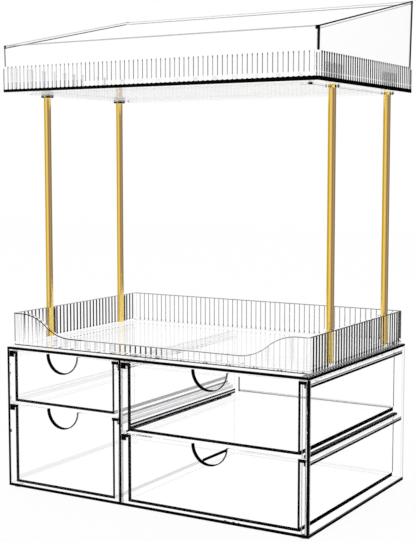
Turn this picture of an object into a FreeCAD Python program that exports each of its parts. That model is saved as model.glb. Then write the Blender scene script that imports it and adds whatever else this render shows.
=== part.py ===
import FreeCAD, Part
import math
import os

# Clear vanity organizer: a cabinet with four hanging drawers, a fluted tray on top of it and a second
# tray held above on four gold posts. Millimetres, +X to the right, +Y to the back, +Z up, with the
# origin on the table under the middle of the cabinet.

# Cabinet
cabinet_width = 300.0
cabinet_depth = 199.0
cabinet_height = 126.5
panel_thickness = 2.0
divider_offset = -27.7
foot_height = 1.5
foot_diameter = 9.0
foot_inset = 6.5

# Drawers
left_lower_top = 74.9
right_lower_top = 62.2
drawer_top_gap = 1.1
drawer_wall = 2.0
left_drawer_clearance = 5.4
right_drawer_clearance = 6.4
drawer_back_clearance = 2.5
lower_box_lift = 1.9
upper_box_lift = 2.7
front_thickness = 2.5
front_edge_gap = 0.6
front_split_gap = 0.8
notch_radius = 15.6
rim_reach = 4.5
rim_thickness = 2.2

# Runners and tip guides on the panels
runner_width = 3.9
runner_thickness = 3.6
runner_setback = 1.0
slide_clearance = 0.3
guide_thickness = 2.0
guide_clearance = 0.7
guide_end_gap = 10.0
guide_end_radius = 3.0

# Both trays
tray_wall = 2.2
tray_floor = 2.2
flute_depth = 0.6
flute_flank_share = 1 / 3
tray_inner_radius = 1.0
plinth_inset = 14.4
plinth_wall = 2.4
plinth_radius = 8.0

# Lower tray
lower_width = 293.8
lower_depth = 193.0
lower_height = 29.0
lower_radius = 2.0
lower_back_inset = 0.8
lower_plinth_height = 1.3
lower_flute_pitch = 5.24
dip_floor_height = 10.1
dip_floor_half = 84.0
dip_top_half = 137.0
dip_overshoot = 0.4

# Upper tray
upper_side_overhang = 6.5
upper_depth = 193.8
upper_radius = 1.5
upper_back_inset = 1.5
upper_plinth_height = 1.9
upper_flute_pitch = 4.44
band_height = 22.3
front_wall_height = 40.4
back_wall_height = 81.1
plain_wall_inset = 1.2
plain_wall_spread = 1.6

# Posts
post_diameter = 6.3
post_wall = 0.8
post_length = 222.5
post_side_inset = 4.4
post_front_setback = 47.1
post_back_setback = 31.8
socket_diameter = 11.2
socket_clearance = 0.15
collar_height = 2.8

# Tool bodies run this far past the faces that they cut
overrun = 5.0

# Levels and planes that several pieces share
front_plane = -cabinet_depth / 2
back_plane = cabinet_depth / 2
back_face = back_plane - panel_thickness
cabinet_floor = foot_height + panel_thickness
cabinet_top = foot_height + cabinet_height
cabinet_ceiling = cabinet_top - panel_thickness
drawer_front_back = front_plane + front_thickness
upper_drawer_top = cabinet_ceiling - drawer_top_gap
lower_tray_base = cabinet_top + lower_plinth_height
lower_tray_floor = lower_tray_base + tray_floor
lower_tray_top = lower_tray_base + lower_height
lower_tray_y = back_plane - lower_back_inset - lower_depth / 2
upper_tray_base = lower_tray_floor + post_length
upper_width = lower_width + 2 * upper_side_overhang
upper_tray_y = back_plane - upper_back_inset - upper_depth / 2

# Inner sides of the two columns of drawers, the room beside the boxes and the lower drawer's top in each
columns = {
    "left": (-cabinet_width / 2 + panel_thickness, divider_offset - panel_thickness / 2),
    "right": (divider_offset + panel_thickness / 2, cabinet_width / 2 - panel_thickness),
}
side_clearances = {"left": left_drawer_clearance, "right": right_drawer_clearance}
lower_tops = {
    "left": foot_height + left_lower_top,
    "right": foot_height + right_lower_top,
}

# Post centres by name
post_x = lower_width / 2 - post_side_inset
post_places = {
    f"{row}_{side}": FreeCAD.Vector(sign * post_x, y, 0)
    for row, y in (
        ("front", lower_tray_y - lower_depth / 2 + post_front_setback),
        ("back", lower_tray_y + lower_depth / 2 - post_back_setback),
    )
    for side, sign in (("left", -1), ("right", 1))
}

up = FreeCAD.Vector(0, 0, 1)


def block(x_span, y_span, z_span):
    """Box between a low and a high value along each axis."""
    corner = FreeCAD.Vector(x_span[0], y_span[0], z_span[0])
    return Part.makeBox(x_span[1] - x_span[0], y_span[1] - y_span[0], z_span[1] - z_span[0], corner)


def upright_cylinder(diameter, place, z_span):
    """Upright cylinder over a place on the ground plan, between two levels."""
    base = FreeCAD.Vector(place.x, place.y, z_span[0])
    return Part.makeCylinder(diameter / 2, z_span[1] - z_span[0], base, up)


def corner_arcs(width, depth, radius, y_centre, z):
    """Start, middle and end of each corner arc of a level rounded rectangle, counter-clockwise."""
    along_x = FreeCAD.Vector(1, 0, 0)
    along_y = FreeCAD.Vector(0, 1, 0)
    bow = radius * (1 - math.sqrt(0.5))
    arcs = []
    for side_x, side_y, coming, going in (
        (1, -1, along_x, along_y),
        (1, 1, along_y, -along_x),
        (-1, 1, -along_x, -along_y),
        (-1, -1, -along_y, along_x),
    ):
        corner = FreeCAD.Vector(side_x * width / 2, y_centre + side_y * depth / 2, z)
        arcs.append((corner - coming * radius, corner + (going - coming) * bow, corner + going * radius))
    return arcs


def closed_outline(arcs, side_points):
    """Wire of corner arcs and the sides between them, whose points come from their two ends."""
    edges = []
    for arc, next_arc in zip(arcs, arcs[1:] + arcs[:1]):
        edges.append(Part.Arc(*arc).toShape())
        edges += Part.makePolygon(side_points(arc[-1], next_arc[0])).Edges
    return Part.Wire(edges)


def rounded_rectangle(width, depth, radius, y_centre, z):
    """Level outline with straight sides and rounded corners."""
    return closed_outline(corner_arcs(width, depth, radius, y_centre, z), lambda start, end: [start, end])


def fluted_outline(width, depth, radius, y_centre, z, pitch):
    """Level outline with plain rounded corners and a row of three-sided reeds along each side."""
    flank = flute_flank_share * pitch

    def reeds(start, end):
        length = start.distanceToPoint(end)
        forward = (end - start).normalize()
        inward = FreeCAD.Vector(-forward.y, forward.x, 0)
        count = int(length / pitch)
        first = (length - (count - 1) * pitch) / 2
        points = [start]
        for index in range(count):
            groove = start + forward * (first + index * pitch)
            points += [groove - forward * flank, groove + inward * flute_depth, groove + forward * flank]
        return points + [end]

    return closed_outline(corner_arcs(width, depth, radius, y_centre, z), reeds)


def prism(wire, height):
    """Solid that stands on a closed level outline."""
    return Part.Face(wire).extrude(up * height)


def plinth(width, depth, y_centre, base, height):
    """Stacking rim under a tray floor: a low ring set in from the tray's sides."""
    outer_width = width - 2 * plinth_inset
    outer_depth = depth - 2 * plinth_inset
    outer = rounded_rectangle(outer_width, outer_depth, plinth_radius, y_centre, base - height)
    inner = rounded_rectangle(
        outer_width - 2 * plinth_wall,
        outer_depth - 2 * plinth_wall,
        plinth_radius - plinth_wall,
        y_centre,
        base - height,
    )
    return prism(outer, height).cut(prism(inner, height))


def make_panels():
    """Six flat panels of the cabinet; the sides, back and divider stand between top and bottom."""
    full_x = (-cabinet_width / 2, cabinet_width / 2)
    full_y = (front_plane, back_plane)
    inner_x = (columns["left"][0], columns["right"][1])
    inner_z = (cabinet_floor, cabinet_ceiling)
    return {
        "top_panel": block(full_x, full_y, (cabinet_ceiling, cabinet_top)),
        "bottom_panel": block(full_x, full_y, (foot_height, cabinet_floor)),
        "left_panel": block((full_x[0], inner_x[0]), full_y, inner_z),
        "right_panel": block((inner_x[1], full_x[1]), full_y, inner_z),
        "back_panel": block(inner_x, (back_face, back_plane), inner_z),
        "divider": block((columns["left"][1], columns["right"][0]), (front_plane, back_face), inner_z),
    }


def make_feet():
    """Low round pad under each corner of the cabinet."""
    feet = {}
    for row, y in (("front", front_plane + foot_inset), ("back", back_plane - foot_inset)):
        for side, sign in (("left", -1), ("right", 1)):
            place = FreeCAD.Vector(sign * (cabinet_width / 2 - foot_inset), y, 0)
            feet[f"foot_{row}_{side}"] = upright_cylinder(foot_diameter, place, (0, foot_height))
    return feet


def strip_spans(column):
    """Ground width of the strips on both sides of a column: the cabinet's side first, then the divider's."""
    left_edge, right_edge = columns[column]
    spans = [(left_edge, left_edge + runner_width), (right_edge - runner_width, right_edge)]
    if column == "right":
        spans.reverse()
    return dict(zip(("outer", "inner"), spans))


def make_runners(column, level, drawer_top):
    """Ledges that a drawer's side rims slide on."""
    z_high = drawer_top - rim_thickness - slide_clearance
    y_span = (drawer_front_back + runner_setback, back_face)
    return {
        f"{column}_{level}_runner_{side}": block(x_span, y_span, (z_high - runner_thickness, z_high))
        for side, x_span in strip_spans(column).items()
    }


def make_guides(column, drawer_top):
    """Strips just above a lower drawer's rims; the free rear corner of each is rounded."""
    z_low = drawer_top + guide_clearance
    y_span = (drawer_front_back + runner_setback, back_face - guide_end_gap)
    middle = sum(columns[column]) / 2
    guides = {}
    for side, x_span in strip_spans(column).items():
        strip = block(x_span, y_span, (z_low, z_low + guide_thickness))
        free_x = min(x_span, key=lambda x: abs(x - middle))
        corner = FreeCAD.Vector(free_x, y_span[1], z_low + guide_thickness / 2)
        edge = min(strip.Edges, key=lambda candidate: candidate.CenterOfMass.distanceToPoint(corner))
        guides[f"{column}_guide_{side}"] = strip.makeFillet(min(guide_end_radius, runner_width), [edge])
    return guides


def make_drawer_front(column, bottom, top):
    """Flat front plate with a half-round finger notch in the middle of its top edge."""
    left_edge, right_edge = columns[column]
    plate = block(
        (left_edge + front_edge_gap, right_edge - front_edge_gap),
        (front_plane, drawer_front_back),
        (bottom, top),
    )
    notch_start = FreeCAD.Vector((left_edge + right_edge) / 2, front_plane - overrun, top)
    notch_length = front_thickness + 2 * overrun
    notch = Part.makeCylinder(notch_radius, notch_length, notch_start, FreeCAD.Vector(0, 1, 0))
    return plate.cut(notch)


def make_drawer_box(column, bottom, top):
    """Box open at the top and the front, with a flat rim along each side that hangs on a runner."""
    left_edge, right_edge = columns[column]
    clearance = side_clearances[column]
    x_span = (left_edge + clearance, right_edge - clearance)
    y_span = (drawer_front_back, back_face - drawer_back_clearance)
    box = block(x_span, y_span, (bottom, top))
    hollow = block(
        (x_span[0] + drawer_wall, x_span[1] - drawer_wall),
        (y_span[0] - overrun, y_span[1] - drawer_wall),
        (bottom + drawer_wall, top + overrun),
    )
    rim_span = (x_span[0] - rim_reach, x_span[1] + rim_reach)
    rim = block(rim_span, y_span, (top - rim_thickness, top))
    return box.fuse(rim).cut(hollow).removeSplitter()


def make_drawers():
    """Front plate and box of each drawer, with the runners and guides that carry it."""
    pieces = {}
    for column, lower_top in lower_tops.items():
        for level, front_bottom, box_bottom, top in (
            ("lower", cabinet_floor + front_edge_gap, cabinet_floor + lower_box_lift, lower_top),
            ("upper", lower_top + front_split_gap, lower_top + upper_box_lift, upper_drawer_top),
        ):
            pieces[f"{column}_{level}_front"] = make_drawer_front(column, front_bottom, top)
            pieces[f"{column}_{level}_box"] = make_drawer_box(column, box_bottom, top)
            pieces.update(make_runners(column, level, top))
        pieces.update(make_guides(column, lower_top))
    return pieces


def make_dip_cutter():
    """Tool that lowers the front wall between two S-curves, each of two equal tangent arcs."""
    low = lower_tray_base + dip_floor_height
    high = lower_tray_top + dip_overshoot
    run = dip_top_half - dip_floor_half
    rise = high - low
    arc_radius = (run ** 2 + rise ** 2) / (4 * rise)
    half_turn = math.asin(run / 2 / arc_radius) / 2
    shift_x = arc_radius * math.sin(half_turn)
    shift_z = arc_radius * (1 - math.cos(half_turn))
    y = lower_tray_y - lower_depth / 2 - overrun

    def station(side, x, z):
        return FreeCAD.Vector(side * x, y, z)

    edges = []
    for side in (-1, 1):
        bend = station(side, dip_floor_half + run / 2, low + rise / 2)
        foot = station(side, dip_floor_half, low)
        head = station(side, dip_top_half, high)
        near_foot = station(side, dip_floor_half + shift_x, low + shift_z)
        near_head = station(side, dip_top_half - shift_x, high - shift_z)
        edges.append(Part.Arc(foot, near_foot, bend).toShape())
        edges.append(Part.Arc(bend, near_head, head).toShape())
        edges.append(Part.LineSegment(head, station(side, dip_top_half, high + overrun)).toShape())
    for x, z in ((dip_floor_half, low), (dip_top_half, high + overrun)):
        edges.append(Part.LineSegment(station(-1, x, z), station(1, x, z)).toShape())
    outline = Part.Wire(Part.__sortEdges__(edges))
    return Part.Face(outline).extrude(FreeCAD.Vector(0, 2 * overrun, 0))


def make_lower_tray():
    """Fluted tray with a dipped front, post sockets against its side walls and a rim under its floor."""
    outline = fluted_outline(
        lower_width, lower_depth, lower_radius, lower_tray_y, lower_tray_base, lower_flute_pitch
    )
    wall = tray_wall + flute_depth
    inside = rounded_rectangle(
        lower_width - 2 * wall, lower_depth - 2 * wall, tray_inner_radius, lower_tray_y, lower_tray_floor
    )
    hollow = prism(inside, lower_height)
    bores = []
    for place in post_places.values():
        socket_span = (lower_tray_floor - overrun, lower_tray_top + overrun)
        hollow = hollow.cut(upright_cylinder(socket_diameter, place, socket_span))
        bore_span = (lower_tray_floor, lower_tray_top + overrun)
        bores.append(upright_cylinder(post_diameter + 2 * socket_clearance, place, bore_span))
    tray = prism(outline, lower_height).cut([hollow, make_dip_cutter()] + bores)
    rim = plinth(lower_width, lower_depth, lower_tray_y, lower_tray_base, lower_plinth_height)
    return tray.fuse(rim).removeSplitter()


def plain_wall_outline(inset, radius, height):
    """Outline of the upper tray's drafted wall at a height over its base, set in from the flutes."""
    spread = plain_wall_spread * height / back_wall_height
    width = upper_width + 2 * (spread - inset)
    depth = upper_depth + 2 * (spread - inset)
    return rounded_rectangle(width, depth, radius, upper_tray_y, upper_tray_base + height)


def make_slope_cutter():
    """Tool that trims the upper tray from its low front edge straight up to its high back edge."""
    rise = (back_wall_height - front_wall_height) / upper_depth
    front_y = upper_tray_y - upper_depth / 2 - overrun
    back_y = upper_tray_y + upper_depth / 2 + overrun
    side_x = -upper_width / 2 - overrun
    low = upper_tray_base + front_wall_height - rise * overrun
    high = upper_tray_base + back_wall_height + rise * overrun
    corners = [
        FreeCAD.Vector(side_x, front_y, low),
        FreeCAD.Vector(side_x, back_y, high),
        FreeCAD.Vector(side_x, back_y, high + overrun),
        FreeCAD.Vector(side_x, front_y, high + overrun),
    ]
    outline = Part.makePolygon(corners + corners[:1])
    return Part.Face(outline).extrude(FreeCAD.Vector(upper_width + 2 * overrun, 0, 0))


def make_upper_tray():
    """Tray with a fluted band under plain sloping walls, a rim and four post collars under its floor."""
    band_outline = fluted_outline(
        upper_width, upper_depth, upper_radius, upper_tray_y, upper_tray_base, upper_flute_pitch
    )
    full_height = back_wall_height + overrun
    outside = (plain_wall_inset, upper_radius)
    inside = (plain_wall_inset + tray_wall, tray_inner_radius)
    walls = Part.makeLoft(
        [plain_wall_outline(*outside, 0), plain_wall_outline(*outside, full_height)], True, True
    )
    hollow = Part.makeLoft(
        [plain_wall_outline(*inside, tray_floor), plain_wall_outline(*inside, full_height)], True, True
    )
    shell = walls.fuse(prism(band_outline, band_height)).cut([hollow, make_slope_cutter()])
    rim = plinth(upper_width, upper_depth, upper_tray_y, upper_tray_base, upper_plinth_height)
    collars = []
    bores = []
    for place in post_places.values():
        collar_span = (upper_tray_base - collar_height, upper_tray_base)
        bore_span = (upper_tray_base - collar_height - overrun, upper_tray_base)
        collars.append(upright_cylinder(socket_diameter, place, collar_span))
        bores.append(upright_cylinder(post_diameter + 2 * socket_clearance, place, bore_span))
    return shell.fuse([rim] + collars).cut(bores).removeSplitter()


def make_posts():
    """Gold tubes from the floor of the lower tray to the underside of the upper tray."""
    z_span = (lower_tray_floor, upper_tray_base)
    return {
        f"post_{name}": upright_cylinder(post_diameter, place, z_span).cut(
            upright_cylinder(post_diameter - 2 * post_wall, place, z_span)
        )
        for name, place in post_places.items()
    }


def main():
    """Write every piece as its own file."""
    pieces = {"lower_tray": make_lower_tray(), "upper_tray": make_upper_tray()}
    for group in (make_panels(), make_feet(), make_drawers(), make_posts()):
        pieces.update(group)
    os.makedirs("parts", exist_ok=True)
    for node, shape in pieces.items():
        shape.exportStep(f"parts/{node}.step")
        print(node, shape.ShapeType, len(shape.Solids), shape.isValid(), round(shape.Volume, 1))


main()
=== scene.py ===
import math

import bpy
import numpy as np
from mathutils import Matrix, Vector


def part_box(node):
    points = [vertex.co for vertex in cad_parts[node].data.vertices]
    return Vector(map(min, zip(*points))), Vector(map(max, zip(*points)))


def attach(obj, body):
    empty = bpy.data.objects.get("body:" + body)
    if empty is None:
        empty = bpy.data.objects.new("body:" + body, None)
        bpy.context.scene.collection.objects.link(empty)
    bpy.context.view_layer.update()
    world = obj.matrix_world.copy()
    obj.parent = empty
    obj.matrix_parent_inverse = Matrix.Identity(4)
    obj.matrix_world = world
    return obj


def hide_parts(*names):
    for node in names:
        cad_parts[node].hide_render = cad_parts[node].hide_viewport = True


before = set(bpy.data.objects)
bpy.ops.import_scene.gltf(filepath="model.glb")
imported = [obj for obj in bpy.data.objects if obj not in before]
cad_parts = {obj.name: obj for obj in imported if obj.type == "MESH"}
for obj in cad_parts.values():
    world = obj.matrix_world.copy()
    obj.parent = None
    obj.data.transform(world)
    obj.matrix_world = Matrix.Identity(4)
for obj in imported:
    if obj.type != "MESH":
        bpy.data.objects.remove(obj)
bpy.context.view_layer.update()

scene = bpy.context.scene

# Sizes in metres, in the frame of the solids: +X right, +Y back, +Z up from the table
MM = 0.001
drawer_wall = 2.0 * MM
rim_reach = 4.5 * MM
rim_thickness = 2.2 * MM
joint_gap = 0.05 * MM
strip_end_radius = 3.0 * MM
notch_radius = 15.6 * MM
tray_wall = 2.2 * MM
tray_floor = 2.2 * MM
groove_depth = 0.4 * MM
lining_radius = 1.0 * MM
plinth_inset = 14.4 * MM
plinth_wall = 2.4 * MM
plinth_radius = 8.0 * MM
sleeve_radius = 5.6 * MM
corner_points = 8
turned_points = 48

# Run over which painted shade changes, and depth of a face's skin that painted shade lies on
shade_step = 0.1 * MM
face_skin = 0.3 * MM

lower_wall = 2.8 * MM
lower_radius = 2.0 * MM
lower_pitch = 5.24 * MM
lower_shifts = np.array([0.83, 2.63, 1.45, 5.07]) * MM
lower_steps = (1053, 673)
lower_plinth_height = 1.3 * MM
lower_height = 29.0 * MM
dip_low = 10.1 * MM
dip_floor_half = 84.0 * MM
dip_top_half = 137.0 * MM

upper_half_width = 153.4 * MM
upper_half_depth = 96.9 * MM
upper_centre_y = 1.1 * MM
upper_radius = 1.5 * MM
upper_pitch = 4.44 * MM
upper_shifts = np.array([3.61, 3.63, 3.61, 3.63]) * MM
upper_steps = (1053, 681)
upper_plinth_height = 1.9 * MM
band_height = 22.3 * MM
front_wall_height = 40.4 * MM
back_wall_height = 81.1 * MM
plain_wall_inset = 1.2 * MM
plain_wall_spread = 1.6 * MM
collar_height = 2.8 * MM

post_names = ("front_left", "front_right", "back_left", "back_right")

# Numbers of an outline's sides, and the one that all its corners share
FRONT, RIGHT, BACK, LEFT, CORNER = range(5)


# Refraction of most clear pieces, low so that white stays white behind many layers, and of the fronts
thin_ior = 1.02
front_ior = 1.45

# Camera of the photograph: place, degrees below level and round from the front, then focal length and height of
# the picture in pixels
camera_place = (0.53377, -0.8972, 0.29176)
camera_tilt = 5.279
camera_turn = 30.739
focal_length_px = 1166.8
picture_height_px = 542
sensor_mm = 36


# Camera and studio

def make_camera():
    """Camera right of the front, a little above the middle, looking slightly down."""
    data = bpy.data.cameras.new("camera")
    camera = bpy.data.objects.new("camera", data)
    scene.collection.objects.link(camera)
    camera.location = camera_place
    camera.rotation_euler = (math.radians(90 - camera_tilt), 0, math.radians(camera_turn))
    data.sensor_width = sensor_mm
    data.lens = focal_length_px / picture_height_px * sensor_mm
    scene.camera = camera


def add_node(tree, kind, values=(), **settings):
    """New node with its settings, each input either a plain value or a link from another node's output."""
    node = tree.nodes.new(kind)
    for key, value in settings.items():
        setattr(node, key, value)
    for key, value in dict(values).items():
        if isinstance(value, bpy.types.NodeSocket):
            tree.links.new(value, node.inputs[key])
        else:
            node.inputs[key].default_value = value
    return node


def maths(tree, operation, first, second=0.0):
    """Output of a Math node on two numbers or sockets."""
    return add_node(tree, "ShaderNodeMath", {0: first, 1: second}, operation=operation).outputs[0]


def vector_maths(tree, operation, first, second=(0.0, 0.0, 0.0), output="Vector"):
    """Output of a Vector Math node on two vectors or sockets."""
    node = add_node(tree, "ShaderNodeVectorMath", {0: first, 1: second}, operation=operation)
    return node.outputs[output]


def between(tree, value, low, high):
    """Mask that is 1 where a value lies between two limits."""
    limits = {0: value, 1: (low + high) / 2, 2: (high - low) / 2}
    return add_node(tree, "ShaderNodeMath", limits, operation="COMPARE").outputs[0]


def either(tree, *sockets):
    """Largest of several 0 to 1 masks."""
    total = sockets[0]
    for socket in sockets[1:]:
        total = maths(tree, "MAXIMUM", total, socket)
    return total


def mixed(tree, share, first, second):
    """Output of a mix of two shaders, the second by its share."""
    return add_node(tree, "ShaderNodeMixShader", {0: share, 1: first, 2: second}).outputs[0]


def new_material(name):
    """Material without nodes, and its node tree."""
    material = bpy.data.materials.new(name)
    material.use_nodes = True
    material.node_tree.nodes.clear()
    return material, material.node_tree


# Level directions to the right and to the front of the camera's view
view_right = (0.859, 0.511, 0.0)
view_front = (0.511, -0.859, 0.0)

# Studio that polished metal mirrors: turn round the horizon from behind past the left to the front, and colour
studio_stripes = (
    (0.0, (0.40, 0.36, 0.30, 1)),
    (0.15, (0.62, 0.52, 0.10, 1)),
    (0.261, (0.58, 0.45, 0.0, 1)),
    (0.372, (1.0, 1.0, 0.80, 1)),
    (0.467, (0.73, 0.72, 0.94, 1)),
    (0.561, (0.25, 0.19, 0.11, 1)),
    (0.658, (0.47, 0.42, 0.75, 1)),
    (0.778, (0.21, 0.21, 0.50, 1)),
    (1.0, (0.40, 0.36, 0.30, 1)),
)


def rough_gloss(tree, path):
    """Mask of rays mirrored by a surface that is not perfectly smooth."""
    spread = maths(tree, "SUBTRACT", 1.0, path["Is Singular Ray"])
    return maths(tree, "MULTIPLY", path["Is Glossy Ray"], spread)


def make_world():
    """White all round for what is seen directly, through plastic or in it; upright soft stripes for metal."""
    world = bpy.data.worlds.new("studio")
    scene.world = world
    world.cycles.sampling_method = "NONE"
    world.use_nodes = True
    tree = world.node_tree
    tree.nodes.clear()
    path = add_node(tree, "ShaderNodeLightPath").outputs
    direction = add_node(tree, "ShaderNodeTexCoord").outputs["Generated"]
    rightward, forward = (
        vector_maths(tree, "DOT_PRODUCT", direction, axis, "Value") for axis in (view_right, view_front)
    )
    turn = maths(tree, "ARCTAN2", rightward, forward)
    share = add_node(tree, "ShaderNodeMapRange", {"Value": turn, 1: -math.pi, 2: math.pi}).outputs[0]
    stripes = add_node(tree, "ShaderNodeValToRGB", {"Fac": share})
    elements = stripes.color_ramp.elements
    while len(elements) < len(studio_stripes):
        elements.new(0.5)
    for element, (position, colour) in zip(elements, studio_stripes):
        element.position = position
        element.color = colour
    white = add_node(tree, "ShaderNodeBackground", {"Color": (1, 1, 1, 1), "Strength": 1.0})
    studio = add_node(tree, "ShaderNodeBackground", {"Color": stripes.outputs["Color"], "Strength": 1.0})
    mix = mixed(tree, rough_gloss(tree, path), white.outputs[0], studio.outputs[0])
    add_node(tree, "ShaderNodeOutputWorld", {"Surface": mix})


floor_half = 4
floor_points = 9
floor_glow = 0.93


def make_floor():
    """Level white sheet that keeps a faint shadow; metal mirrors the studio past it."""
    line = np.linspace(-floor_half, floor_half, floor_points)
    x, y = np.meshgrid(line, line, indexing="ij")
    points = np.stack([x, y, np.zeros_like(x)], -1).reshape(-1, 3)
    mesh = bpy.data.meshes.new("floor")
    mesh.from_pydata(points.tolist(), [], grid_faces(floor_points, floor_points).tolist())
    floor = bpy.data.objects.new("floor", mesh)
    scene.collection.objects.link(floor)
    material, tree = new_material("floor_white")
    path = add_node(tree, "ShaderNodeLightPath").outputs
    seen = maths(tree, "MULTIPLY", path["Is Camera Ray"], floor_glow)
    through = either(tree, seen, path["Is Transmission Ray"], path["Is Singular Ray"])
    paper = add_node(tree, "ShaderNodeBsdfDiffuse", {"Color": (0.9, 0.9, 0.9, 1)})
    glow = add_node(tree, "ShaderNodeEmission", {"Color": (1, 1, 1, 1), "Strength": 1.0})
    sheet = mixed(tree, through, paper.outputs[0], glow.outputs[0])
    gap = add_node(tree, "ShaderNodeBsdfTransparent").outputs[0]
    add_node(tree, "ShaderNodeOutputMaterial", {"Surface": mixed(tree, rough_gloss(tree, path), sheet, gap)})
    mesh.materials.append(material)


def make_lamp(name, place, aim, size, power):
    """Square soft lamp that points from its place to its aim."""
    data = bpy.data.lights.new(name, "AREA")
    data.energy = power
    data.size = size
    lamp = bpy.data.objects.new(name, data)
    scene.collection.objects.link(lamp)
    lamp.location = place
    away = np.subtract(place, aim)
    lamp.rotation_euler = (
        math.atan2(math.hypot(away[0], away[1]), away[2]),
        0,
        math.atan2(away[0], -away[1]),
    )


# Finishes

def painted_shade_of_piece(tree):
    """Painted shade that a piece carries at its own points, faces or corners."""
    return add_node(tree, "ShaderNodeAttribute", attribute_name="ink").outputs["Fac"]


# Painted shade on the rim of a finger notch: its width on the left and on the right, and between which shares
# of the radius it changes from one to the other
notch_wide = 1.6 * MM
notch_thin = 0.9 * MM
notch_change = (-0.6, 0.4)


def notch_shade(low, high, marks):
    """Painted shade on the rim of a finger notch: a ring about its circle that is wide on the left and thin on
    the right.

    marks adds rectangles of painted shade on the plate's face, each its two ends across, its two heights and
    its darkness.
    """
    def ink(tree):
        place = add_node(tree, "ShaderNodeTexCoord").outputs["Object"]
        centre = ((low[0] + high[0]) / 2, 0.0, high[2])
        offset = vector_maths(tree, "SUBTRACT", place, centre)
        flat = vector_maths(tree, "MULTIPLY", offset, (1.0, 0.0, 1.0))
        reach = vector_maths(tree, "LENGTH", flat, output="Value")
        across = add_node(tree, "ShaderNodeSeparateXYZ", {0: offset}).outputs["X"]
        x, y, z = add_node(tree, "ShaderNodeSeparateXYZ", {0: place}).outputs
        limit = add_node(
            tree,
            "ShaderNodeMapRange",
            {
                "Value": across,
                1: notch_change[0] * notch_radius,
                2: notch_change[1] * notch_radius,
                3: notch_radius + notch_wide,
                4: notch_radius + notch_thin,
            },
        ).outputs[0]
        total = maths(tree, "LESS_THAN", reach, limit)
        on_face = maths(tree, "LESS_THAN", y, low[1] + face_skin)
        for x_low, x_high, z_low, z_high, dark in marks:
            inside = maths(
                tree, "MULTIPLY", between(tree, x, x_low, x_high), between(tree, z, z_low, z_high)
            )
            shade = maths(tree, "MULTIPLY", maths(tree, "MULTIPLY", inside, dark), on_face)
            total = either(tree, total, shade)
        return total
    return ink


# Painted shade on a drawer front: depth of the bars and of the block under the left one, and their widths, then
# the widths of the upright edges and how dark they are
rim_bar_depth = 2.7 * MM
rim_block_depth = 5.4 * MM
left_bar_width = 6.8 * MM
left_block_width = 3.9 * MM
right_bar_width = 6.5 * MM
left_edge_width = 2.1 * MM
right_line_from = 3.8 * MM
right_line_to = 3.0 * MM
right_edge_width = 0.8 * MM
left_edge_shade = 0.55
right_edge_shade = 0.7


def front_shade(node):
    """Painted shade on a drawer front: its notch, the rim ends behind its corners and some upright edges."""
    low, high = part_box(node)
    left, right, bottom, top = low[0], high[0], low[2], high[2]
    bar, block = top - rim_bar_depth, top - rim_block_depth
    marks = [
        (left, left + left_bar_width, bar, top, 1.0),
        (left, left + left_block_width, block, bar, 1.0),
        (right - right_bar_width, right, bar, top, 1.0),
    ]
    if node.startswith("right"):
        marks += [
            (left, left + left_edge_width, bottom, block, left_edge_shade),
            (right - right_line_from, right - right_line_to, bottom, bar, right_edge_shade),
            (right - right_edge_width, right, bottom, bar, right_edge_shade),
        ]
    return notch_shade(low, high, marks)


# Painted reflection of the lower tray's flutes on the top panel: a stripe's slant forward for each unit
# outwards and its share of the pitch, then, outwards from the tray's side, the ends of the stripes, of the line
# along their tips and of the margin, and the margin's painted grey shade with what a painted reflected stripe
# adds to it
stripe_slant = 2.3
stripe_share = (0.15, 0.85)
stripe_ends = (-0.2 * MM, 1.6 * MM)
tip_ends = (1.3 * MM, 1.9 * MM)
margin_ends = (-0.2 * MM, 2.1 * MM)
margin_shade_grey = 0.35
reflected_stripe_shade = 0.65


def painted_flute_reflection(tree):
    """Painted shade that the top panel carries, with a painted reflection of the lower tray's right flutes in
    the margin by them.

    A mirrored flute runs on straight down in the picture, so its stripe slants forward across the margin.
    """
    panel_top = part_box("top_panel")[1][2]
    tray_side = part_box("lower_tray")[1][0]
    place = add_node(tree, "ShaderNodeTexCoord").outputs["Object"]
    x, y, z = add_node(tree, "ShaderNodeSeparateXYZ", {0: place}).outputs
    outside = maths(tree, "SUBTRACT", x, tray_side)
    along = maths(tree, "ADD", y, maths(tree, "MULTIPLY", outside, stripe_slant))
    first = float(lower_shifts[1]) - lower_pitch / 2
    turns = maths(tree, "DIVIDE", maths(tree, "SUBTRACT", along, first), lower_pitch)
    stripe = between(tree, maths(tree, "FRACT", turns), *stripe_share)
    stripe = maths(tree, "MULTIPLY", stripe, between(tree, outside, *stripe_ends))
    tips = between(tree, outside, *tip_ends)
    striped = maths(tree, "MULTIPLY", either(tree, stripe, tips), reflected_stripe_shade)
    marks = maths(tree, "ADD", margin_shade_grey, striped)
    margin = between(tree, outside, *margin_ends)
    margin = maths(tree, "MULTIPLY", margin, maths(tree, "GREATER_THAN", z, panel_top - shade_step))
    plain = maths(tree, "MULTIPLY", painted_shade_of_piece(tree), maths(tree, "SUBTRACT", 1.0, margin))
    return maths(tree, "ADD", plain, maths(tree, "MULTIPLY", margin, marks))


clear_white = (1, 1, 1, 1)
# Painted shade: near-black colour and weak mirror tint of faces darkened in place of clear plastic's dark edges
shade_black = (0.002, 0.002, 0.002, 1)
shade_gloss = (0.02, 0.02, 0.02, 1)
shadow_tint = (0.96, 0.96, 0.96, 1)


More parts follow.
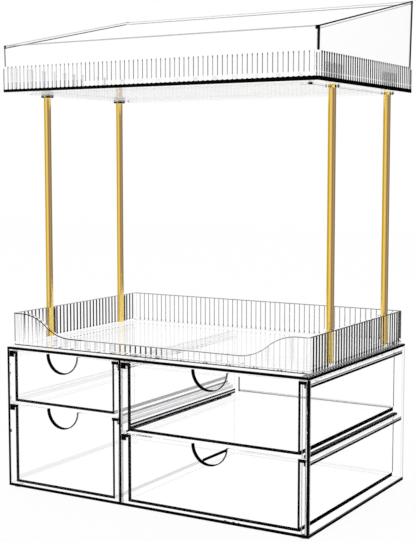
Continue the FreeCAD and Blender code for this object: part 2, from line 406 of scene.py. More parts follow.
def clear_plastic(name, shade_rule, inside=0.0, ior=thin_ior, gloss=0.05):
    """Clear moulded plastic whose faces with painted shade look black from outside, as light piped into an edge
    does.

    inside is the share of that painted shade which shows on the same faces from within the plastic, and gloss
    the strength of what the clear faces mirror.
    """
    material, tree = new_material(name)
    back = add_node(tree, "ShaderNodeNewGeometry").outputs["Backfacing"]
    facing = maths(tree, "SUBTRACT", 1.0, maths(tree, "MULTIPLY", back, 1.0 - inside))
    ink = maths(tree, "MULTIPLY", shade_rule(tree), facing)
    colour = add_node(tree, "ShaderNodeMix", {0: ink, "A": clear_white, "B": shade_black}, data_type="RGBA")
    clear_gloss = (gloss, gloss, gloss, 1)
    tint = add_node(tree, "ShaderNodeMix", {0: ink, "A": clear_gloss, "B": shade_gloss}, data_type="RGBA")
    body = add_node(
        tree,
        "ShaderNodeBsdfPrincipled",
        {
            "Base Color": colour.outputs["Result"],
            "Specular Tint": tint.outputs["Result"],
            "Transmission Weight": maths(tree, "SUBTRACT", 1.0, ink),
            "Roughness": 0.0,
            "IOR": ior,
            "Specular IOR Level": 0.0,
        },
    )
    shadow = add_node(tree, "ShaderNodeLightPath").outputs["Is Shadow Ray"]
    open_body = add_node(tree, "ShaderNodeBsdfTransparent", {"Color": shadow_tint})
    mix = mixed(tree, shadow, body.outputs[0], open_body.outputs[0])
    add_node(tree, "ShaderNodeOutputMaterial", {"Surface": mix})
    return material


gold_deep = (0.94, 0.66, 0.17, 1)
gold_pale = (1.0, 0.74, 0.22, 1)
gold_roughness = (0.05, 0.11)
drawn_line_scale = (2500.0, 2500.0, 12.0)


def gold_metal():
    """Polished gold-coloured tube with faint drawn lines along its length."""
    material, tree = new_material("post_gold")
    place = add_node(tree, "ShaderNodeTexCoord").outputs["Object"]
    stretched = add_node(tree, "ShaderNodeMapping", {"Vector": place, "Scale": drawn_line_scale}).outputs[0]
    noise = {"Vector": stretched, "Scale": 1.0, "Detail": 2.0}
    lines = add_node(tree, "ShaderNodeTexNoise", noise).outputs[0]
    smoothest, roughest = gold_roughness
    rough = add_node(tree, "ShaderNodeMapRange", {"Value": lines, 3: smoothest, 4: roughest})
    colour = add_node(tree, "ShaderNodeMix", {0: lines, "A": gold_deep, "B": gold_pale}, data_type="RGBA")
    body = add_node(
        tree,
        "ShaderNodeBsdfPrincipled",
        {"Base Color": colour.outputs["Result"], "Metallic": 1.0, "Roughness": rough.outputs[0]},
    )
    add_node(tree, "ShaderNodeOutputMaterial", {"Surface": body.outputs[0]})
    return material


# Surfaces

sharp_angle = 30


def grid_faces(rows, columns, closed=False):
    """Corner numbers of the four-sided faces of a grid of points; closed joins the last column to the first."""
    strips = columns if closed else columns - 1
    row, column = np.meshgrid(np.arange(rows - 1), np.arange(strips), indexing="ij")
    after = (column + 1) % columns
    here = row * columns
    above = here + columns
    return np.stack([here + column, here + after, above + after, above + column], -1).reshape(-1, 4)


def finish_piece(name, points, faces, material, ink=None, caps=(), domain="POINT"):
    """Mesh object from points, four-sided faces and many-sided caps, smooth except across sharp edges."""
    mesh = bpy.data.meshes.new(name)
    mesh.from_pydata(points.tolist(), [], faces.tolist() + [list(map(int, cap)) for cap in caps])
    mesh.update()
    mesh.polygons.foreach_set("use_smooth", np.ones(len(mesh.polygons), bool))
    mesh.set_sharp_from_angle(angle=math.radians(sharp_angle))
    if ink is not None:
        layer = mesh.attributes.new("ink", "FLOAT", domain)
        layer.data.foreach_set("value", ink.astype(np.float32))
    mesh.materials.append(material)
    piece = bpy.data.objects.new(name, mesh)
    scene.collection.objects.link(piece)
    return piece


def place_piece(piece, body, node=None):
    """Let a piece ride a body, in place of a solid where one is named."""
    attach(piece, body)
    if node:
        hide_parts(node)


def edge_shade(below, above, top_shade=0.0):
    """Painted shade at the face corners between rings, from values for each row of faces and edge, then on the
    caps.
    """
    sides = np.stack([below, below, above, above], -1).ravel()
    count = below.shape[1]
    return np.concatenate([sides, np.zeros(count), np.full(count, top_shade)])


def rounded_outline(half_width, half_depth, radius, centre_y, side_steps, corner_steps):
    """Closed outline of a rectangle with quarter-circle corners, counter-clockwise from the front's left.

    Each side is a straight run of evenly spaced points and each corner an arc of evenly spaced angles.
    Gives the points, their outward normals, the number of the side, the place along the side,
    the nearest corner (0 front right, then round) and the distance along the outline from its middle.
    """
    run_x = half_width - radius
    run_y = half_depth - radius
    half_arc = radius * math.pi / 4
    sides = ((0.0, -1.0, run_x), (1.0, 0.0, run_y), (0.0, 1.0, run_x), (-1.0, 0.0, run_y))
    keys = ("place", "normal", "side", "along", "corner", "turn")
    rows = []
    for number, (normal_x, normal_y, run) in enumerate(sides):
        steps = side_steps[number % 2]
        along = np.linspace(-run, run, steps)
        forward = np.array([-normal_y, normal_x])
        normal = np.array([normal_x, normal_y])
        reach = half_depth if number % 2 == 0 else half_width
        rows.append((
            along[:, None] * forward + reach * normal,
            np.repeat(normal[None], steps, 0),
            np.full(steps, number),
            along * forward.sum(),
            np.where(along > 0, number, (number - 1) % 4),
            np.where(along > 0, along - run - half_arc, along + run + half_arc),
        ))
        turn = np.linspace(0, math.pi / 2, corner_steps + 2)[1:-1]
        spin = np.cos(turn)[:, None] * normal + np.sin(turn)[:, None] * forward
        rows.append((
            forward * run + normal * (reach - radius) + radius * spin,
            spin,
            np.full(corner_steps, CORNER),
            np.zeros(corner_steps),
            np.full(corner_steps, number),
            radius * turn - half_arc,
        ))
    outline = {key: np.concatenate(parts) for key, parts in zip(keys, zip(*rows))}
    outline["place"][:, 1] += centre_y
    return outline


def ring(outline, inset, z):
    """Outline moved inwards along its normals by an amount for each point, at a height for each point."""
    count = len(outline["place"])
    flat = outline["place"] - np.broadcast_to(inset, count)[:, None] * outline["normal"]
    return np.column_stack([flat, np.broadcast_to(z, count)])


def groove_distance(outline, pitch, shifts, centre_y):
    """Distance of each point to the nearest groove on its side; grooves repeat at the pitch from a shift."""
    side = outline["side"]
    along = outline["along"] + np.where(side % 2 == 1, centre_y, 0.0)
    shift = np.append(shifts, 0.0)[side]
    away = np.abs((along - shift + pitch / 2) % pitch - pitch / 2)
    return np.where(side == CORNER, pitch / 2, away)


plain_run = 1.0 * MM
fade_run = 1.5 * MM


def corner_fade(outline, radius):
    """0 in the plain corners of an outline, rising evenly to 1 a little way along its sides."""
    return np.clip((np.abs(outline["turn"]) - radius * math.pi / 4 - plain_run) / fade_run, 0, 1)


def reed_inset(distance, pitch):
    """Depth of the surface below the crown of a round reed: a parabola that is deepest at the groove."""
    return groove_depth * (1 - 2 * distance / pitch) ** 2


def stroke(distance, reach, power=8):
    """1 on a line and 0 well past its reach; a higher power gives it crisper sides."""
    return np.exp(-(distance / reach) ** power)


def dip_height(x):
    """Height of the lower tray's front rim at x: low in the middle, then two equal tangent arcs up."""
    run = dip_top_half - dip_floor_half
    rise = lower_height - dip_low
    radius = (run ** 2 + rise ** 2) / (4 * rise)
    t = np.clip(np.abs(x) - dip_floor_half, 0, run)
    lower = radius - np.sqrt(radius ** 2 - np.minimum(t, run / 2) ** 2)
    upper = rise - radius + np.sqrt(radius ** 2 - np.minimum(run - t, run / 2) ** 2)
    return dip_low + np.where(t < run / 2, lower, upper)


def stack_rings(rings):
    """Points, faces and caps of a closed shell: rings joined one to the next, with flat ends."""
    count = len(rings[0])
    last = (len(rings) - 1) * count
    caps = [np.arange(count)[::-1], last + np.arange(count)]
    return np.concatenate(rings), grid_faces(len(rings), count, closed=True), caps


def make_shell(name, layers, material):
    """Closed shell from rows of a ring of points and the ink on that ring."""
    points, faces, caps = stack_rings([points for points, _ in layers])
    count = len(layers[0][0])
    ink = np.concatenate([np.broadcast_to(value, count) for _, value in layers])
    return finish_piece(name, points, faces, material, ink, caps)


post_boxes = {name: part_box(f"post_{name}") for name in post_names}
post_centres = {
    name: ((low[0] + high[0]) / 2, (low[1] + high[1]) / 2) for name, (low, high) in post_boxes.items()
}


# Painted shade on the two sides of each sleeve, and how far it reaches in from the sleeve's front and rear
# outline
sleeve_line_front = 0.2
sleeve_line_rear = 0.45
sleeve_shades = {"front_left": 0.9, "front_right": 0.3, "back_left": 0.6, "back_right": 0.3}


def sleeve_bulge(outline):
    """Extra thickness inside the side walls where a sleeve surrounds a post, and painted shade on the sleeve's
    sides.
    """
    place = outline["place"]
    bulge = np.zeros(len(place))
    dark = np.zeros(len(place))
    for name, (x, y) in post_centres.items():
        same_side = (outline["side"] % 2 == 1) & (place[:, 0] * x > 0)
        depth = np.abs(place[:, 0]) - abs(x)
        away = np.abs(place[:, 1] - y)
        reach = np.sqrt(np.maximum(sleeve_radius ** 2 - away ** 2, 0))
        bulge = np.where(same_side & (reach > 0), np.maximum(bulge, depth + reach), bulge)
        dark_from = sleeve_radius - np.where(place[:, 1] < y, sleeve_line_front, sleeve_line_rear) * MM
        dark = np.maximum(dark, sleeve_shades[name] * (same_side & (reach > 0) & (away > dark_from)))
    return bulge, dark


# Where a right post shows through a tray's right wall, the lower tray's painted flute shade thins and the upper
# tray's lining gets a painted grey image of the post: how far before the post, half its width and how crisp it
# is, and that painted grey on the upper tray
lower_sight = (5.1 * MM, 5.0 * MM, 6)
upper_sight = (15.0 * MM, 17.0 * MM, 12)
upper_sight_shade = 0.3


def right_sights(outline, shift, half, power):
    """1 on the right wall where a right post shows through its flutes, and 0 elsewhere; painted shade follows
    it.
    """
    y = outline["place"][:, 1]
    sights = (
        stroke(y - (post_centres[name][1] - shift), half, power) for name in ("front_right", "back_right")
    )
    return np.where(outline["side"] == RIGHT, np.maximum(*sights), 0.0)


def by_side(outline, front, right, back, left, corner):
    """Value for each point of an outline from one value for each side and one for the corners."""
    return np.array([front, right, back, left, corner])[outline["side"]]


def by_corner(outline, front_right, back_right, back_left, front_left):
    """Value for each point of an outline from one value for each corner, taken by the nearest."""
    return np.array([front_right, back_right, back_left, front_left])[outline["corner"]]


# Lower tray, whose walls carry painted shade: middle and half length of the painted dark stretch of its front,
# end of the darkest painted part of its front rim, and how far from the front and past the front left post the
# left wall's painted lines are faint
dark_front_middle = -12 * MM
dark_front_half = 31 * MM
dark_rim_end = -70 * MM
faint_left_run = 11 * MM
faint_post_run = 4 * MM


def make_lower_tray(material):
    """Tray on the cabinet: reeded walls with plain corners, a dipped front, sleeves and a stacking rim."""
    low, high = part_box("lower_tray")
    base = low[2] + lower_plinth_height
    floor = base + tray_floor
    centre_y = (low[1] + high[1]) / 2
    half_width = (high[0] - low[0]) / 2
    half_depth = (high[1] - low[1]) / 2
    outer, lining, rim = (
        rounded_outline(half_width - inset, half_depth - inset, radius, centre_y, lower_steps, corner_points)
        for inset, radius in ((0.0, lower_radius), (lower_wall, lining_radius), (plinth_inset, plinth_radius))
    )
    away = groove_distance(outer, lower_pitch, lower_shifts, centre_y)
    fade = corner_fade(outer, lower_radius)
    reed = fade * reed_inset(away, lower_pitch)
    bulge, sleeve_dark = sleeve_bulge(lining)
    x, y = outer["place"].T
    is_front, is_right, is_left = (outer["side"] == side for side in (FRONT, RIGHT, LEFT))
    top, lining_top = (
        base + np.where(line["side"] == FRONT, dip_height(line["place"][:, 0]), lower_height)
        for line in (outer, lining)
    )
    # Painted shade: lines and dots along the grooves, corner, foot and rim lines, with a strength for each side
    width = by_side(outer, 0.35, 1.55, 0.42, 1.05, 1.0) * (1 - 0.7 * right_sights(outer, *lower_sight)) * MM
    middle = is_front * stroke(x - dark_front_middle, dark_front_half, 6)
    width = width * (1 + 1.3 * middle)
    near_front = is_left & (y < centre_y - half_depth + faint_left_run)
    strength = np.where(near_front, 0.2, by_side(outer, 0.6, 1.0, 0.8, 1.0, 0.0)) * fade
    line = np.maximum(strength, middle) * stroke(away, width)
    dot = np.where(near_front, 0.3, by_side(outer, 0.4, 1.0, 1.0, 1.0, 0.0)) * fade
    dot = dot * stroke(away, by_side(outer, 1.0, 1.3, 1.3, 1.3, 1.0) * width)
    end_width = by_corner(outer, 0.4, 1.2, 0.3, 0.5) * MM
    end_place = np.abs(np.abs(outer["turn"]) - lower_radius * math.pi / 4)
    corner_line = by_corner(outer, 0.5, 1.0, 0.4, 0.9) * stroke(end_place, end_width, 4)
    line = np.maximum(line, corner_line)
    behind_front = is_left & (y < post_centres["front_left"][1] + faint_post_run)
    lower_line = np.where(behind_front, 0.1, 1.0) * line
    dot = np.where(behind_front, 0.1, 1.0) * dot
    rim_line = by_side(outer, 0.75, 0.9, 0.7, 0.6, 0.6)
    rim_line = np.where(is_front & (x < dark_rim_end), 1.0, rim_line)
    foot_line = by_side(outer, 0.9, 1.0, 0.3, 0.0, 0.7)
    foot_line = np.where(is_right, np.maximum(0.3, line), foot_line)
    foot_height = by_side(outer, 1.0, 1.0, 0.5, 0.6, 1.0) * MM
    plinth_base = base - lower_plinth_height + joint_gap
    slab_line, slab_dot = (np.where(is_left, 0.0, value) for value in (lower_line, dot))

    def wall(z, ink, inset=0.0):
        return ring(outer, reed + inset, z), ink

    layers = [
        (ring(rim, plinth_wall, base), 0),
        (ring(rim, plinth_wall, plinth_base), 0),
        (ring(rim, 0.0, plinth_base), 0),
        (ring(rim, 0.0, base), 0),
        wall(base, 0, 0.8 * MM),
        wall(base, foot_line, 0.4 * MM),
        wall(base + 0.3 * MM, foot_line),
        wall(base + foot_height, foot_line),
        wall(base + foot_height + shade_step, slab_line),
        wall(floor - shade_step, slab_dot),
        wall(floor, dot),
        wall(floor + 1.0 * MM, dot),
        wall(floor + 1.3 * MM, lower_line),
        wall(top - 0.9 * MM, line),
        wall(top - 0.8 * MM, rim_line),
        wall(top, rim_line),
        wall(top, rim_line, 0.3 * MM),
        wall(top, 0, 0.4 * MM),
        (ring(lining, bulge, lining_top), sleeve_dark),
        (ring(lining, bulge, floor + shade_step), sleeve_dark),
        (ring(lining, bulge, floor), 0),
    ]
    tray = make_shell("lower_tray_clear", layers, material)
    place_piece(tray, "cabinet", "lower_tray")


# Upper tray, whose walls carry painted shade: end of the front's left stretch and how high its lower painted
# lines reach there and elsewhere, then the heights on the lining between which the right posts' tops show in
# painted grey
left_stretch_end = -65 * MM
left_split = 8.3
plain_split = 6.2
sight_low = 3.0 * MM
sight_high = 15.2 * MM


def make_upper_tray(material):
    """Tray on the posts: a reeded band under plain leaning walls that rise to the back, with a rim below."""
    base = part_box("upper_tray")[0][2] + collar_height
    centre_y = upper_centre_y

    def inset_outline(inset, radius):
        half_width, half_depth = upper_half_width - inset, upper_half_depth - inset
        return rounded_outline(half_width, half_depth, radius, centre_y, upper_steps, corner_points)

    outer = inset_outline(0.0, upper_radius)
    plain_outer = inset_outline(plain_wall_inset, upper_radius)
    lining = inset_outline(plain_wall_inset + tray_wall, lining_radius)
    rim = inset_outline(plinth_inset, plinth_radius)
    away = groove_distance(outer, upper_pitch, upper_shifts, centre_y)
    fade = corner_fade(outer, upper_radius)
    reed = fade * reed_inset(away, upper_pitch)

    def sloped_height(line):
        back_share = (line["place"][:, 1] - centre_y + upper_half_depth) / (2 * upper_half_depth)
        return front_wall_height + (back_wall_height - front_wall_height) * back_share

    def wall(z, ink, inset=0.0):
        return ring(outer, reed + inset, z), ink

    def leaning(line, height, ink):
        return ring(line, -plain_wall_spread * height / back_wall_height, base + height), ink

    # Painted shade: lines and dots along the grooves, corner lines and dots, foot, rim and plinth lines
    width = by_side(outer, 0.4, 1.22, 0.4, 0.4, 1.0) * MM
    line = by_side(outer, 0.9, 1.0, 0.15, 0.3, 0.0) * fade * stroke(away, width)
    dot = by_side(outer, 0.95, 1.0, 0.2, 0.3, 0.0) * fade * stroke(away, 1.25 * width)
    x, y = outer["place"].T
    is_front = outer["side"] == FRONT
    near_left = is_front & (x < left_stretch_end)
    low_line = np.where(near_left, dot, line * np.where(is_front, 0.15, 1.0))
    line = line * np.where(near_left, 0.8, 1.0)
    split = np.where(near_left, left_split, plain_split) * MM
    turn = outer["turn"]
    front_right, back_right, back_left, front_left = (
        by_corner(outer, *(np.arange(4) == number)) for number in range(4)
    )
    half_arc = upper_radius * math.pi / 4
    thin_ends = stroke(np.abs(turn) - half_arc, 0.5 * MM, 4)
    rear_reach = np.where(turn < 0, 5.5 * MM, 1.0 * MM)
    corner_line = (
        front_right * stroke(turn - 0.7 * MM, 1.3 * MM)
        + back_right * stroke(turn, rear_reach)
        + front_left * thin_ends
    )
    band_corner = (1 - back_left) * thin_ends
    dot_reach = np.where(front_left, 2.8, 1.8) * MM
    corner_dot = (1 - back_left) * stroke(turn, dot_reach)
    band_line = np.maximum(line, band_corner)
    low_line = np.maximum(low_line, band_corner)
    # Painted faint grey veil on the right wall, darker towards the back
    painted_veil = (outer["side"] == RIGHT) * np.interp(y, [-96 * MM, 98 * MM], [0.03, 0.07])
    corner_line = np.maximum(corner_line, painted_veil)
    rim_line = np.maximum(by_side(outer, 0.6, 1.0, 0.3, 0.3, 0.6), corner_dot)
    gap_line = np.maximum(corner_line, corner_dot)
    second_line = np.maximum(by_side(outer, 0.0, 0.55, 0.6, 0.85, 0.3), gap_line)
    foot_shade = by_side(outer, 1.0, 1.0, 0.2, 0.2, 1.0)
    bump = stroke(away, 0.9 * MM, 2) * fade
    front_height = np.interp(x, [-150 * MM, 0.0, 150 * MM], [2.3, 2.6, 3.2])
    foot_height = np.where(is_front, front_height, by_side(outer, 0.0, 3.2, 0.5, 0.5, 3.2))
    foot_height = (foot_height + 0.5 * bump) * MM
    wall_height = sloped_height(plain_outer)
    plinth_base = base - upper_plinth_height
    plinth_line = by_side(rim, 0.2, 0.8, 0.3, 0.5, 0.8)
    plinth_dot = by_corner(rim, 1, 0, 0, 0) * stroke(rim["turn"] - 2.5 * MM, 2.5 * MM)
    plinth_line = np.maximum(plinth_line, plinth_dot)
    post_sight_shade = upper_sight_shade * right_sights(lining, *upper_sight)
    layers = [
        (ring(rim, plinth_wall, base), 0.12),
        (ring(rim, plinth_wall, plinth_base), 0),
        (ring(rim, 0.3 * MM, plinth_base), 0),
        (ring(rim, 0.2 * MM, plinth_base), plinth_line),
        (ring(rim, 0.0, plinth_base + 0.2 * MM), plinth_line),
        (ring(rim, 0.0, plinth_base + 0.3 * MM), plinth_dot),
        (ring(rim, 0.0, base), plinth_dot),
        (ring(rim, -0.1 * MM, base), 0),
        wall(base, 0, 0.5 * MM),
        wall(base, foot_shade, 0.3 * MM),
        wall(base + 0.2 * MM, foot_shade),
        wall(base + foot_height, foot_shade),
        wall(base + foot_height + shade_step, low_line),
        wall(base + split, low_line),
        wall(base + split + 0.2 * MM, 0.3 * band_line),
        wall(base + split + 0.9 * MM, band_line),
        wall(base + band_height - 1.7 * MM, band_line),
        wall(base + band_height - 1.6 * MM, dot),
        wall(base + band_height, dot),
        leaning(plain_outer, band_height, corner_line),
        leaning(plain_outer, wall_height - 3.1 * MM, corner_line),
        leaning(plain_outer, wall_height - 2.8 * MM, second_line),
        leaning(plain_outer, wall_height - 2.1 * MM, second_line),
        leaning(plain_outer, wall_height - 2.0 * MM, gap_line),
        leaning(plain_outer, wall_height - 1.1 * MM, gap_line),
        leaning(plain_outer, wall_height - 1.0 * MM, rim_line),
        leaning(plain_outer, wall_height, rim_line),
        leaning(lining, sloped_height(lining), 0),
        leaning(lining, sight_high, 0),
        leaning(lining, sight_high - 2 * shade_step, post_sight_shade),
        leaning(lining, sight_low + 2 * shade_step, post_sight_shade),
        leaning(lining, sight_low, 0),
        leaning(lining, tray_floor, 0),
    ]
    tray = make_shell("upper_tray_clear", layers, material)
    place_piece(tray, "cabinet", "upper_tray")


def turned(profile, place):
    """Points and faces of a profile of radius and height pairs turned about an upright axis."""
    angle = np.linspace(0, 2 * math.pi, turned_points, endpoint=False)
    radius, height = np.asarray(profile, float).T
    x = place[0] + radius[:, None] * np.cos(angle)
    y = place[1] + radius[:, None] * np.sin(angle)
    z = np.broadcast_to(height[:, None], x.shape)
    return np.stack([x, y, z], -1).reshape(-1, 3), grid_faces(len(radius), turned_points, closed=True)


def turned_bar(low, high, soft, gap=0.0):
    """Points, faces and caps of an upright round bar with softened rims that fills a box but for end gaps."""
    radius = (high[0] - low[0]) / 2
    profile = [
        (radius - soft, low[2] + gap),
        (radius, low[2] + soft),
        (radius, high[2] - soft),
        (radius - soft, high[2] - gap),
    ]
    points, faces = turned(profile, ((low[0] + high[0]) / 2, (low[1] + high[1]) / 2))
    end = np.arange(turned_points)
    return points, faces, [end[::-1], len(points) - turned_points + end]


post_softening = 0.4 * MM
foot_softening = 0.3 * MM


def make_posts(material):
    """Gold bars with softened ends, where the solids are tubes whose bores never show."""
    for name, (low, high) in post_boxes.items():
        points, faces, caps = turned_bar(low, high, post_softening)
        post = finish_piece(f"post_{name}_gold", points, faces, material, None, caps)
        place_piece(post, "cabinet", f"post_{name}")


# Collars: bore, softened rim, height of the bands at foot and top, and the turn of their rightmost line, where
# their painted shade lies
collar_bore = 3.3 * MM
collar_soft = 0.3 * MM
collar_band = 1.2 * MM
collar_turn = 30.7


def make_collars(material):
    """Clear collars under the upper tray around the tops of the posts.

    The right ones carry painted shade along both sides, the left ones in painted dashes all round.
    """
    for name, (_, high) in post_boxes.items():
        top = high[2]
        bottom = top - collar_height
        profile = [
            (collar_bore, top),
            (collar_bore, bottom),
            (sleeve_radius - collar_soft, bottom),
            (sleeve_radius, bottom + collar_soft),
            (sleeve_radius, bottom + collar_band),
            (sleeve_radius, top - collar_band),
            (sleeve_radius, top),
        ]
        points, faces = turned(profile, post_centres[name])
        turn = np.linspace(0, 2 * math.pi, turned_points, endpoint=False)
        rightness = np.cos(turn - math.radians(collar_turn))
        if name.endswith("right"):
            right, left = (np.clip((share - 0.7) / 0.1, 0, 1) for share in (rightness, -rightness))
            ink = np.outer([0, 0, 0.3, 1.0, 1.0, 1.0, 0.5], right + 0.5 * left)
        else:
            dashes = np.where(np.sin(6 * turn) > -0.8, 1.0, 0.1)
            ink = np.outer([0, 0, 1.0, 1.0, 1.0, 0.4, 0.8], dashes)
        collar = finish_piece(f"collar_{name}_clear", points, faces, material, ink.ravel())
        place_piece(collar, "cabinet")


# Painted shade on a drawer box's edges: both sides above the underside and the same at the back, the lines and
# the middle of the left inside corner, the right rim end, the left rear corner and the floor's back
box_edge_shades = {
    "left_upper_box": (0.5, 0.5, 0.12, 0.0, 0.1, 0.0, 0.1),
    "left_lower_box": (0.2, 1.0, 0.1, 0.1, 0.25, 0.0, 0.0),
    "right_upper_box": (1.0, 1.0, 1.0, 0.35, 0.1, 1.0, 0.75),
    "right_lower_box": (1.0, 1.0, 0.0, 0.0, 0.1, 0.0, 0.15),
}


# Lines along a drawer box, in mm: height of the painted dark edge of a right and a left box, heights above the
# floor on the right and left lining, and how far stations stand behind the front and before the back wall; then
# the painted shade of a right box's lower rear edge
right_edge_height = 3.5
left_edge_height = 3.0
right_lining_heights = (2.7, 0.0)
left_lining_heights = (0.0, 1.6, 2.7, 4.3, 14.5)
front_station = 1.6
rear_stations = (46.0, 8.8, 2.4, 0.0)
box_rear_edge_shade = 0.8


def make_drawer_box(node, material):
    """Drawer without its front: a U-shaped section with flat side rims, carried straight back to a back wall.

    The section is a closed line, left rim, left wall, underside, right wall and rim, then the lining back.
    It stands at six stations: the front end, just behind it, past the middle, two short of the back wall and
    the back wall's inside. The back wall is the section's outer line carried on to the back.
    """
    low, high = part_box(node)
    left = low[0] + rim_reach
    right = high[0] - rim_reach
    bottom, top = low[2], high[2]
    is_right = node.startswith("right")
    edge_height = (right_edge_height if is_right else left_edge_height) * MM
    half = [
        (left + drawer_wall, top),
        (low[0], top),
        (low[0], top - rim_thickness),
        (left, top - rim_thickness),
        (left, bottom + edge_height),
        (left, bottom),
    ]
    outer = half + [(left + right - x, z) for x, z in reversed(half)]
    floor = bottom + drawer_wall
    lining = [(right - drawer_wall, floor + height * MM) for height in right_lining_heights]
    lining += [(left + drawer_wall, floor + height * MM) for height in left_lining_heights]
    inner_end = high[1] - drawer_wall
    stations = [low[1] + joint_gap, low[1] + front_station * MM]
    stations += [inner_end - step * MM for step in rear_stations]
    section = np.array(outer + lining)
    rear = np.array(outer)

    def carried(line, y):
        return np.column_stack([line[:, 0], np.full(len(line), y), line[:, 1]])

    points = np.concatenate([carried(section, y) for y in stations] + [carried(rear, high[1])])
    count, rear_count = len(section), len(rear)
    tube = grid_faces(len(stations), count, closed=True)[:, ::-1]
    inside, back = (len(stations) - 1) * count, len(stations) * count
    here = np.arange(rear_count)
    after = (here + 1) % rear_count
    wrap = np.stack([back + here, back + after, inside + after, inside + here], -1)
    caps = [
        list(range(count)),
        [inside + index for index in (12, 11, 0, 18, 17, 16)],
        [inside + index for index in (13, 12, 16, 15, 14)],
        list(range(back + rear_count - 1, back - 1, -1)),
    ]
    box_shades = box_edge_shades[node]
    edge, rear_edge, corner_line, corner_middle, right_rim, left_rear, floor_back = box_shades
    # Painted shade on the box's faces, set at each face corner
    dark = np.zeros((len(stations) - 1, count))
    dark[:2, [4, 6]] = edge
    dark[2:, [4, 6]] = rear_edge
    dark[:, 9] = right_rim
    dark[1:3, 14:17] = corner_line, corner_middle, corner_line
    dark[4, 14:18] = left_rear
    dark[0, 11:] = 1.0
    dark[0, [0, 10]] = 1.0
    wrap_shade = np.zeros(len(wrap))
    wrap_shade[7] = box_rear_edge_shade if is_right else 0.0
    cap_shades = [
        np.ones(count),
        np.zeros(6),
        np.array([floor_back, 0, 0, floor_back / 2, floor_back]),
        np.zeros(rear_count),
    ]
    ink = np.concatenate([np.repeat(dark.ravel(), 4), np.repeat(wrap_shade, 4)] + cap_shades)
    faces = np.concatenate([tube, wrap])
    box = finish_piece(f"{node}_clear", points, faces, material, ink, caps, "CORNER")
    place_piece(box, node.replace("_box", "_drawer"), node)


# Painted shade up the side of a strip: share of its thickness and darkness
runner_shades = (
    (0.0, 1.0), (0.55, 1.0), (0.57, 0.1), (0.66, 0.1), (0.69, 0.85), (0.92, 0.7), (1.0, 0.2)
)
guide_shades = ((0.0, 1.0), (1.0, 1.0))

# Painted shade of a strip's front end, attached side, free side and rear end; upper and lower ones share a row
# unless they have their own
strip_shades = {
    "left_runner_outer": (1.0, 0.2, 0.05, 0.1),
    "left_runner_inner": (0.6, 0.35, 0.05, 0.1),
    "left_upper_runner_inner": (0.6, 0.1, 0.05, 0.1),
    "right_runner_inner": (1.0, 0.1, 0.05, 0.1),
    "right_runner_outer": (1.0, 1.0, 0.1, 0.6),
    "left_guide_outer": (0.2, 0.2, 0.1, 0.2),
    "left_guide_inner": (0.1, 0.6, 0.1, 0.3),
    "right_guide_inner": (0.2, 0.1, 0.9, 0.5),
    "right_guide_outer": (1.0, 1.0, 0.2, 1.0),
}


runner_end_radius = 0.5 * MM
strip_arc_points = 9
guide_top_shade = 0.92


def make_strip(node, material):
    """Runner or guide: a flat bar whose free rear corner is a quarter circle, set just off its panel."""
    low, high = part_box(node)
    low = np.add(low, joint_gap)
    high = np.subtract(high, joint_gap)
    is_guide = "guide" in node
    radius = strip_end_radius if is_guide else runner_end_radius
    turn = np.linspace(0, math.pi / 2, strip_arc_points)[1:]
    width = high[0] - low[0]
    arc_start = high[1] - radius
    across = np.concatenate([[0, width, width], width - radius + radius * np.cos(turn), [0]])
    back = np.concatenate([[low[1], low[1], arc_start], arc_start + radius * np.sin(turn), [high[1]]])
    plain_name = node.replace("_upper", "").replace("_lower", "")
    front_end, attached, free, rear_end = strip_shades.get(node, strip_shades[plain_name])
    strip_edge_shades = np.array([front_end, free] + [rear_end] * (len(across) - 3) + [attached])
    is_front = np.arange(len(across)) == 0
    free_on_right = ("left" in node) == ("outer" in node)
    x = low[0] + across if free_on_right else high[0] - across
    outline = np.column_stack([x, back])
    if not free_on_right:
        outline = outline[::-1]
        strip_edge_shades = np.roll(strip_edge_shades[::-1], -1)
        is_front = np.roll(is_front[::-1], -1)
    shares, shades = np.array(guide_shades if is_guide else runner_shades).T
    levels = low[2] + shares * (high[2] - low[2])
    rings = [np.column_stack([outline, np.full(len(outline), z)]) for z in levels]
    points, faces, caps = stack_rings(rings)
    # Painted shade on the strip's faces: the side profile times each edge's value, even on the front end
    table = np.where(is_front, 1.0, shades[:, None]) * strip_edge_shades
    ink = edge_shade(table[:-1], table[1:], guide_top_shade if node == "right_guide_outer" else 0.0)
    strip = finish_piece(f"{node}_clear", points, faces, material, ink, caps, "CORNER")
    place_piece(strip, "cabinet", node)


# Each panel's thin axis, painted dark and fading band widths in mm on its low and high face, and the painted
# shade of its ends in order round the sheet
sheets = {
    "top_panel": (2, (0.3, 0.3), ((1.5, 0.7, 0.6, 0.6), (1.5, 0.3, 0.8, 0.8)), (1.0, 1.0, 0.2, 0.3)),
    "bottom_panel": (2, (0.3, 0.3), (1.2, 1.2), (1.0, 1.0, 0.2, 0.2)),
    "left_panel": (0, (1.0, 0.6), (0.4, 0.5), (0.1, 0.2, 0.1, 1.0)),
    "right_panel": (0, (0.3, 0.3), ((1.0, 1.2, 0.3, 1.1), (0.3, 2.2, 0.3, 2.2)), (0.9, 0.45, 0.0, 1.0)),
    "divider": (0, (0.3, 0.3), (0.4, 0.6), (0.1, 0.2, 0.1, 1.0)),
    "back_panel": (1, (0.2, 0.2), (1.0, 0.6), (0.1, 0.1, 0.1, 0.1)),
}

# Painted shade of ends that only the back or the left of the cabinet shows, and of the rims of such faces
hidden_ends = {
    "top_panel": (0, 0, 0.8, 0.8),
    "bottom_panel": (0, 0, 0.8, 0.8),
    "left_panel": (0, 0.8, 0, 0),
    "divider": (0, 0.5, 0, 0),
}
outer_rim = 0.8

# Painted shade in a grey margin on a panel's high face beside the lower tray, by side: width in mm and darkness
margins = {"top_panel": ((0.0, 9.0, 0.0, 0.0), (0.0, 0.75, 0.0, 0.0))}
no_margin = ((0.0,) * 4, (0.0,) * 4)
margin_step = 0.1


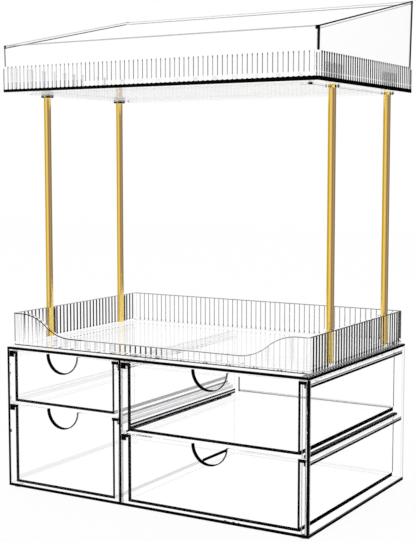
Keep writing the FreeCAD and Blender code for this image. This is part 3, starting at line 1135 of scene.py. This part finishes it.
def make_sheet(node, material):
    """Flat panel: a rectangle carried through its thickness, with painted shade on its ends and its faces'
    rims.
    """
    thin, low_band, high_band, ends = sheets[node]
    low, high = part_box(node)
    if thin != 2:
        low = np.add(low, joint_gap)
        high = np.subtract(high, joint_gap)
    across, along = (thin + 1) % 3, (thin + 2) % 3

    def rectangle(inset, level):
        first, right, last, left = np.broadcast_to(inset, 4) * MM
        points = np.full((4, 3), level)
        points[:, across] = np.array([low[across] + left, high[across] - right])[[0, 1, 1, 0]]
        points[:, along] = np.array([low[along] + first, high[along] - last])[[0, 0, 1, 1]]
        return points

    margin_width, margin_shade = margins.get(node, no_margin)
    dark, fade = (np.broadcast_to(width, 4) for width in high_band)
    margin_end = np.maximum(dark + fade + margin_step, margin_width)
    rings = [
        rectangle(sum(low_band), low[thin]),
        rectangle(low_band[0], low[thin]),
        rectangle(0.0, low[thin]),
        rectangle(0.0, high[thin]),
        rectangle(dark, high[thin]),
        rectangle(dark + fade, high[thin]),
        rectangle(margin_end, high[thin]),
        rectangle(margin_end + margin_step, high[thin]),
    ]
    none = np.zeros(4)
    low_rim = np.full(4, outer_rim) if node == "left_panel" else np.array(ends)
    high_rim = np.full(4, outer_rim) if node == "back_panel" else np.array(ends)
    side = np.maximum(ends, hidden_ends.get(node, 0))
    below = np.array([none, low_rim, side, high_rim, high_rim, margin_shade, margin_shade])
    above = np.array([low_rim, low_rim, side, high_rim, margin_shade, margin_shade, none])
    points, faces, caps = stack_rings(rings)
    ink = edge_shade(below, above)
    sheet = finish_piece(f"{node}_clear", points, faces, material, ink, caps, "CORNER")
    place_piece(sheet, "cabinet", node)


def dress_cabinet():
    """Panels, strips, boxes and feet made new with painted shade on their ends; the fronts keep their solids
    and get a finish.
    """
    inked = clear_plastic("cabinet_clear", painted_shade_of_piece)
    reflection_painted_finish = clear_plastic("top_panel_clear", painted_flute_reflection)
    for node in list(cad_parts):
        if node in sheets:
            make_sheet(node, reflection_painted_finish if node == "top_panel" else inked)
        elif "runner" in node or "guide" in node:
            make_strip(node, inked)
        elif node.endswith("_box"):
            make_drawer_box(node, inked)
        elif node.endswith("_front"):
            finish = clear_plastic(f"{node}_clear", front_shade(node), inside=0.6, ior=front_ior)
            dress_node(node, finish)
        elif node.startswith("foot"):
            make_foot(node, inked)


def make_foot(node, material):
    """Low round pad with softened rims, turned about its axis; the front ones carry painted shade."""
    low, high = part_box(node)
    points, faces, caps = turned_bar(low, high, foot_softening, joint_gap)
    ink = np.full(len(points), 0.7 if "front" in node else 0.05)
    foot = finish_piece(f"{node}_clear", points, faces, material, ink, caps)
    place_piece(foot, "cabinet", node)


def dress_node(node, material):
    """Give a solid its finish."""
    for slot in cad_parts[node].material_slots:
        slot.material = material


scene.view_settings.view_transform = "Standard"
scene.cycles.use_denoising = True
light_bounces = 64
scene.cycles.max_bounces = light_bounces
scene.cycles.transmission_bounces = light_bounces
scene.cycles.glossy_bounces = light_bounces
scene.cycles.transparent_max_bounces = light_bounces

make_camera()
make_world()
make_floor()
make_lamp("key", place=(-1.2, -1.6, 1.6), aim=(0, 0, 0.2), size=1.2, power=15)
dress_cabinet()
tray_material = clear_plastic("tray_clear", painted_shade_of_piece, inside=1.0, gloss=0.12)
make_lower_tray(tray_material)
make_upper_tray(tray_material)
make_collars(tray_material)
make_posts(gold_metal())
